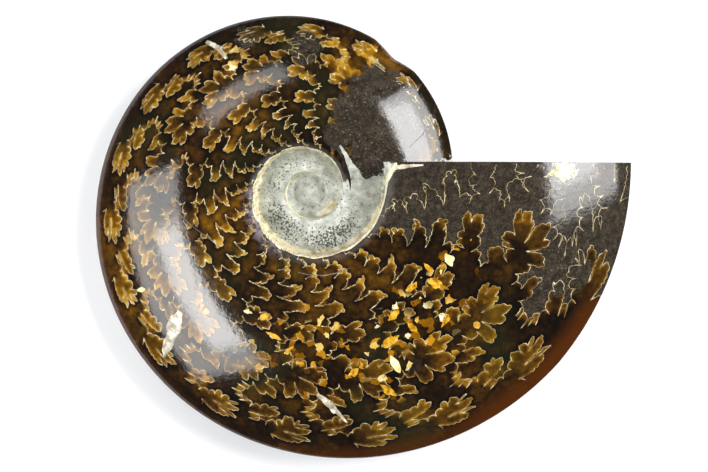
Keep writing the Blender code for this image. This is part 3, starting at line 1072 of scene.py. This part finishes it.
    addMaths(tree, known, [
        ("chalkCloud", "MULTIPLY_ADD", "cloud", 0.7, -0.32),
        ("chalkTone", "MULTIPLY_ADD", "grain", 0.8, "chalkCloud"),
        ("speckleDrift", "MULTIPLY_ADD", "drift", 0.25, "mottle"),
        ("speckleSum", "MULTIPLY_ADD", "speckled", 0.15, "speckleDrift"),
    ])
    known["speckles"] = addStep(tree, known["speckleSum"], 0.71, 0.81)
    known["creamShare"] = addStep(tree, known["creamSum"], 0.45, 0.60)
    chalkColour = addMix(tree, known["speckles"], addRamp(tree, known["chalkTone"], calcite["chalk"]),
                         linear(calcite["speckle"], studioWhite))
    colour = addMix(tree, known["chalkShare"], colour, chalkColour)
    colour = addMix(tree, known["creamShare"], colour, addRamp(tree, known["grain"], calcite["cream"]))
    tree.links.new(colour, shader.inputs["Base Color"])
    addMaths(tree, known, [
        ("chalky", "MAXIMUM", "chalkShare", "creamShare"),
        ("dulled", "MAXIMUM", "chalky", "dull"),
    ])
    rough = addNode(tree, "ShaderNodeMapRange", None,
                    {"Value": known["dulled"], "To Min": calcite["roughness"],
                     "To Max": calcite["chalkRoughness"]}).outputs[0]
    tree.links.new(rough, shader.inputs["Roughness"])
    shader.inputs["IOR"].default_value = calcite["ior"]
    addMaths(tree, known, [
        ("chalkGrit", "MULTIPLY", "chalkShare", "mottle"),
        ("height", "MULTIPLY_ADD", "chalkGrit", 2.5, "grain"),
    ])
    bump = addNode(tree, "ShaderNodeBump", None,
                   {"Height": known["height"], "Strength": calcite["bumpStrength"],
                    "Distance": calcite["bumpDepth"]})
    tree.links.new(bump.outputs[0], shader.inputs["Normal"])
    return material


# Calcite and shell that lie in the skin as lines or slivers, polished with it
inlays = {
    "cream": [(0.34, "#5e4e2c"), (0.50, "#a08c5a"), (0.66, "#e2d6b0")],
    "ring": [(0.28, "#b5a572"), (0.44, "#e6d8a8"), (0.62, "#fbf3da")],
    "crack": [(0.35, "#3a342f"), (0.65, "#857c72")],
    "sliver": [(0.34, "#857c66"), (0.50, "#b5ab92"), (0.64, "#f0eada")],
    "tongue": [(0.30, "#77786c"), (0.50, "#a9aca0"), (0.70, "#d5d5ca")],
    "wedge": [(0.30, "#120a05"), (0.70, "#33281f")],
    "gold": [(0.34, "#8f5e00"), (0.48, "#c8921c"), (0.62, "#e6bb48")],
    "pale": [(0.34, "#d8b850"), (0.48, "#eedd92"), (0.62, "#faf3d2")],
}


def makeInlayMaterial(name, stops, roughness):
    material, tree, shader = newMaterial(name)
    spots = addNode(tree, "ShaderNodeTexCoord").outputs["Object"]
    blotch = addNoise(tree, spots, calcite["grainSize"], 4.0, 0.6)
    tree.links.new(addRamp(tree, blotch, stops), shader.inputs["Base Color"])
    shader.inputs["Roughness"].default_value = roughness
    shader.inputs["IOR"].default_value = calcite["ior"]
    return material


skinMaterial = makeSkinMaterial()


# The fossil's body
def makeBody():
    tree, start = newTree("rolled_skin", sizeInputs)
    rolled = addRolled(tree, start, start.outputs["Geometry"], 0.0)
    addBothSides(tree, rolled, skinMaterial, bodyMerge, 0.0)
    body = bakePiece("fossil_body", flatSkin, tree, dict(sizeInputs))
    work = bmesh.new()
    work.from_mesh(body.data)
    bmesh.ops.recalc_face_normals(work, faces=work.faces)
    open_ = sum(edge.is_boundary for edge in work.edges)
    odd = sum(not edge.is_manifold for edge in work.edges)
    work.to_mesh(body.data)
    work.free()
    body.data.shade_smooth()
    body.data.set_sharp_from_angle(angle=math.radians(40))
    print("body:", len(body.data.polygons), "faces, open edges:", open_, "not manifold:", odd)
    return body


body = makeBody()


# Flat lines become low ridges that follow the skin. Each line is its angles, log ratios and widths in metres.
def makeRibbons(name, lines, material, crest, acrossPoints=3):
    points, edges, widths = [], [], []
    for angles, logRatios, lineWidths in lines:
        base = len(points)
        shifted = np.asarray(logRatios) + wearShift(np.asarray(angles), np.exp(logRatios))
        points += [(a, q, 0) for a, q in zip(angles, shifted)]
        edges += [(base + i, base + i + 1) for i in range(len(angles) - 1)]
        widths += list(lineWidths)
    mesh = bpy.data.meshes.new("flat_lines")
    mesh.from_pydata(points, edges, [])
    mesh.attributes.new("width", "FLOAT", "POINT").data.foreach_set("value", widths)
    source = addObject("flat_lines", mesh)

    tree, start = newTree(name + "_tree", sizeInputs + [("Crest", crest)])
    position = addNode(tree, "GeometryNodeInputPosition")
    flat = addNode(tree, "ShaderNodeSeparateXYZ", None, {0: position.outputs[0]})
    width = addNode(tree, "GeometryNodeInputNamedAttribute", {"data_type": "FLOAT"}, {"Name": "width"})
    known = {socket.name: socket for socket in start.outputs}
    known.update(angle=flat.outputs[0], logRatio=flat.outputs[1], width=width.outputs["Attribute"])
    addMaths(tree, known, [
        ("turnsBack", "SUBTRACT", "angle", fullTurn),
        ("exponent", "MULTIPLY_ADD", "turnsBack", "Growth", "logRatio"),
        ("scale", "EXPONENT", "exponent"),
        ("radius", "MULTIPLY", "scale", "Keel radius"),
        ("halfWidth", "MULTIPLY", "width", 0.5),
        ("flatHalfWidth", "DIVIDE", "halfWidth", "radius"),
    ])
    curves = addNode(tree, "GeometryNodeMeshToCurve", None, {"Mesh": start.outputs["Geometry"]})
    upright = addNode(tree, "GeometryNodeSetCurveNormal", {"mode": "Z_UP"}, {"Curve": curves.outputs[0]})
    profile = addNode(tree, "GeometryNodeCurvePrimitiveLine", None, {"Start": (-1, 0, 0), "End": (1, 0, 0)})
    finer = addNode(tree, "GeometryNodeResampleCurve", None,
                    {"Curve": profile.outputs[0], "Count": acrossPoints})
    factor = addNode(tree, "GeometryNodeSplineParameter")
    marked = addNode(tree, "GeometryNodeStoreNamedAttribute", {"data_type": "FLOAT", "domain": "POINT"},
                     {"Geometry": finer.outputs[0], "Name": "across", "Value": factor.outputs["Factor"]})
    strips = addNode(tree, "GeometryNodeCurveToMesh", None,
                     {"Curve": upright.outputs[0], "Profile Curve": marked.outputs[0],
                      "Scale": known["flatHalfWidth"]})
    skinShape = addNode(tree, "GeometryNodeObjectInfo", None, {"Object": flatSkin})
    high = addNode(tree, "ShaderNodeVectorMath", {"operation": "ADD"}, {0: position.outputs[0], 1: (0, 0, 5)})
    below = addNode(tree, "GeometryNodeRaycast", None,
                    {"Target Geometry": skinShape.outputs["Geometry"], "Source Position": high.outputs[0],
                     "Ray Direction": (0, 0, -1), "Ray Length": 20.0})
    found = addNode(tree, "ShaderNodeSeparateXYZ", None, {0: below.outputs["Hit Position"]})
    onSkin = addNode(tree, "ShaderNodeCombineXYZ", None,
                     {0: flat.outputs[0], 1: flat.outputs[1], 2: found.outputs[2]})
    draped = addNode(tree, "GeometryNodeSetPosition", None,
                     {"Geometry": strips.outputs[0], "Position": onSkin.outputs[0]})
    across = addNode(tree, "GeometryNodeInputNamedAttribute", {"data_type": "FLOAT"}, {"Name": "across"})
    known["across"] = across.outputs["Attribute"]
    addMaths(tree, known, [
        ("side", "SUBTRACT", "across", 0.5),
        ("off", "ABSOLUTE", "side"),
        ("falloff", "POWER", "off", 4.0),
        ("sink", "MULTIPLY_ADD", "falloff", -32.0, 1.0),  # 1 in the middle, and -1 at the edges
        ("lift", "MULTIPLY", "sink", "Crest"),
    ])
    rolled = addRolled(tree, start, draped.outputs[0], known["lift"])
    addBothSides(tree, rolled, material, lineMerge, lineFloor)
    ribbons = bakePiece(name, source, tree, dict(sizeInputs, Crest=crest))
    bpy.data.objects.remove(source, do_unlink=True)
    print(name + ":", len(ribbons.data.polygons), "faces")
    return ribbons


# The sutures, where the chalk of the umbilicus doesn't hide them
def sutureWidths():
    lines = []
    for line, tipness in keptLines:
        angles, logRatios = line.T
        dull = (angles < math.radians(suture["matrixUntil"])) & (logRatios < suture["matrixBelow"])
        keel = (angles < math.radians(suture["keelUntil"])) & (logRatios > suture["keelAbove"])
        seen = (logRatios > suture["end"]) & ~dull & ~keel
        widths = suture["lineWidth"] * (1 + (suture["tipWidth"] - 1) * tipness ** suture["tipPower"])
        lines += [(angles[piece], logRatios[piece], widths[piece]) for piece in stretches(seen)]
    return lines


# The cream rim of the umbilicus runs on inwards as the seam of each older whorl
def ringLine():
    end = float(mouthAngle(ring["ratio"] + ring["flare"], 1)) - 0.01
    angles = np.linspace(innerSeam[0], end, 640)
    waves = ring["rippleWaves"]
    strays = np.random.default_rng(ring["seed"]).normal(0, 1, waves)
    ripple = np.interp(angles, np.linspace(angles[0], angles[-1], waves), strays)
    share = ring["innerShare"] + (ring["halfShare"] - ring["innerShare"]) * np.clip(angles / 1.5, 0, 1)
    widths = 2 * share * (1 + ring["widthRipple"] * ripple) * ring["ratio"] * keelAt(angles)
    return [(angles, np.log(ringRatio(angles)) + ring["ripple"] * ripple, widths)]


# Cracks and slivers, one by one: degrees and log ratio of each end, then the width at each end in millimetres
markings = {
    "hairline_cracks": ("crack", 0.3, [
        (175.9, -0.249, 188.3, -0.508, 0.12, 0.2), (188.3, -0.508, 210.4, -0.81, 0.2, 0.12),
        (23.2, -0.311, 25.6, -0.202, 0.12, 0.18), (25.6, -0.202, 28.7, -0.095, 0.18, 0.12),
        (265, -1.17, 284, -1.155, 0.15, 0.30), (284, -1.155, 300, -1.17, 0.30, 0.10)]),
    "shell_slivers": ("sliver", 0.3, [
        (223.3, -0.306, 225.1, -0.233, 1.1, 3.8), (225.1, -0.233, 227.4, -0.138, 3.8, 2.7),
        (227.4, -0.138, 228.7, -0.081, 2.7, 0.4), (272.7, -0.277, 275.8, -0.232, 0.7, 1.9),
        (275.8, -0.232, 279.5, -0.146, 1.9, 0.4), (124.9, -0.034, 122.6, -0.102, 0.9, 1.3),
        (122.6, -0.102, 122.0, -0.188, 1.3, 0.7), (374.4, -1.343, 373.2, -1.19, 1.4, 0.9),
        (373.2, -1.19, 372.0, -1.03, 0.9, 0.35)]),
    "gold_shards": ("gold", 0.12, [
        (323.6, -0.696, 325.8, -0.612, 2.0, 1.6), (314.9, -0.736, 320.8, -0.739, 1.3, 0.9),
        (302.3, -0.628, 308.1, -0.659, 0.7, 1.8), (307.8, -0.558, 308.1, -0.481, 1.6, 0.9),
        (314.5, -0.434, 319.2, -0.465, 0.4, 1.3), (295.8, -0.498, 302.9, -0.519, 2.0, 1.1),
        (290.7, -0.304, 293.5, -0.231, 1.1, 1.6), (282.7, -0.37, 286.3, -0.407, 0.9, 1.3),
        (328.5, -0.791, 327.5, -0.712, 0.7, 1.1), (249.2, -0.613, 253.3, -0.695, 0.7, 1.3),
        (253.9, -0.561, 260.6, -0.548, 0.7, 1.1), (262.1, -0.465, 265.4, -0.529, 0.9, 0.4)]),
    "pale_shards": ("pale", 0.12, [
        (335.9, -0.712, 332.7, -0.629, 1.1, 1.8), (297.1, -0.433, 297.1, -0.329, 1.3, 2.0),
        (209.7, -0.143, 210.9, -0.192, 0.3, 1.3), (364.0, -0.306, 364.6, -0.278, 0.7, 0.7)]),
    "grey_shard": ("wedge", 0.12, [(299.0, -0.315, 304.6, -0.354, 0.9, 1.8)]),
    "shell_tongue": ("tongue", 0.5, [
        (54.2, -1.061, 31.1, -1.143, 0.4, 1.8), (31.1, -1.143, 4.4, -1.017, 1.8, 3.1),
        (4.4, -1.017, -12.8, -0.776, 3.1, 4.5)]),
    "dark_wedge": ("wedge", 0.25, [
        (54.7, -1.113, 29.7, -1.228, 0.4, 1.3), (29.7, -1.228, 0.0, -1.201, 1.3, 0.1)]),
}


markingShape = {
    "points": 40,
    "waves": 8,  # strays along a marking
    "stray": 0.004,  # their size, as a log ratio
    "width": 1.3,  # against the one that is given, and how much that strays
    "widthStray": 0.2,
    "shardWidth": 1.3,  # the same for the middle of a shard, and what it loses towards its ends
    "shardLoss": 1.25,
    "shardPower": 1.6,
    "crest": 0.00004,  # metres above the skin
}


def markingLines(ends, isShard):
    count, waves = markingShape["points"], markingShape["waves"]
    lines = []
    for startDegrees, startLog, endDegrees, endLog, startWidth, endWidth in ends:
        angles = np.radians(np.linspace(startDegrees, endDegrees, count))
        wander = np.random.default_rng(int(startDegrees * 10)).normal(0, 1, waves)
        stray = np.interp(np.linspace(0, waves - 1, count), np.arange(waves), wander)
        stray = stray * np.sin(np.linspace(0, math.pi, count))
        logRatios = np.linspace(startLog, endLog, count) + markingShape["stray"] * stray
        widths = np.linspace(startWidth, endWidth, count) / 1000
        widths = widths * (markingShape["width"] + markingShape["widthStray"] * stray)
        if isShard:
            loss = markingShape["shardLoss"] * abs(np.linspace(-1, 1, count)) ** markingShape["shardPower"]
            widths = widths * (markingShape["shardWidth"] - loss)
        lines.append((angles, logRatios, widths))
    return lines


def makeAllRibbons():
    cream = makeInlayMaterial("cream_suture_calcite", inlays["cream"], 0.25)
    pieces = [makeRibbons("suture_lines", sutureWidths(), cream, suture["lift"])]
    rimCalcite = makeInlayMaterial("cream_seam_calcite", inlays["ring"], 0.5)
    pieces.append(makeRibbons("umbilical_ring", ringLine(), rimCalcite, ring["crest"], 9))
    for name, (finish, roughness, ends) in markings.items():
        material = makeInlayMaterial("polished_" + finish, inlays[finish], roughness)
        lines = markingLines(ends, "shard" in name)
        pieces.append(makeRibbons(name, lines, material, markingShape["crest"], 5))
    return pieces


ribbonPieces = makeAllRibbons()
bpy.data.objects.remove(flatSkin, do_unlink=True)


# The room: a white floor, soft boxes to the left and right, each with a brighter core, a weak one behind, and
# a long lens straight above. Boxes are azimuth and degrees off vertical, height and width, and radiance.
room = {
    "floorSize": 3.0,
    "floorColour": "#f6f7f9",
    "fillColour": "#e9eef6",
    "boxDistance": 0.62,
    "boxes": [(197, 52, 0.30, 0.60, 5.5), (202, 45, 0.13, 0.34, 9),
              (20, 49, 0.36, 0.52, 8), (20, 44, 0.22, 0.38, 7), (122, 42, 0.12, 0.29, 4)],
    "fill": 0.12,
    "lensDistance": 1.0,
    "metresPerPixel": 0.0002233,  # on the middle plane of the fossil
    "sensor": 36.0,
    "aim": (-0.00185, 0.00019),  # world place in the middle of the picture
    "middlePlane": 0.0155,
}


def makeFloor():
    size = room["floorSize"]
    mesh = bpy.data.meshes.new("floor")
    corners = [(-size, -size, 0), (size, -size, 0), (size, size, 0), (-size, size, 0)]
    mesh.from_pydata(corners, [], [(0, 1, 2, 3)])
    material, _, shader = newMaterial("white_paper")
    shader.inputs["Base Color"].default_value = linear(room["floorColour"])
    shader.inputs["Roughness"].default_value = 0.9
    shader.inputs["Specular IOR Level"].default_value = 0.1
    mesh.materials.append(material)
    return addObject("floor", mesh)


def makeLights():
    for number, (azimuth, offVertical, along, across, radiance) in enumerate(room["boxes"]):
        turn, lean = math.radians(azimuth), math.radians(offVertical)
        light = bpy.data.lights.new("soft_box_%d" % number, "AREA")
        light.shape = "RECTANGLE"
        light.size, light.size_y = across, along
        light.energy = radiance * math.pi * along * across
        lamp = addObject(light.name, light)
        direction = Vector((math.sin(lean) * math.cos(turn), math.sin(lean) * math.sin(turn), math.cos(lean)))
        lamp.location = direction * room["boxDistance"]
        lamp.rotation_euler = direction.to_track_quat("Z", "Y").to_euler()
    world = bpy.data.worlds.new("dim_studio")
    world.use_nodes = True
    background = world.node_tree.nodes["Background"]
    background.inputs["Color"].default_value = linear(room["fillColour"])
    background.inputs["Strength"].default_value = room["fill"]
    bpy.context.scene.world = world


def makeCamera():
    camera = bpy.data.cameras.new("camera")
    camera.sensor_width = room["sensor"]
    camera.lens = room["sensor"] * room["lensDistance"] / (photoWidth * room["metresPerPixel"])
    camera.clip_start, camera.clip_end = 0.01, 20.0
    view = addObject("camera", camera)
    view.location = (*room["aim"], room["middlePlane"] + room["lensDistance"])
    bpy.context.scene.camera = view


floor = makeFloor()
makeLights()
makeCamera()
bpy.context.scene.view_settings.view_transform = "Standard"

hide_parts("ammonite")
for piece in [body] + ribbonPieces:
    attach(piece, "root")
floor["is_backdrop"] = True
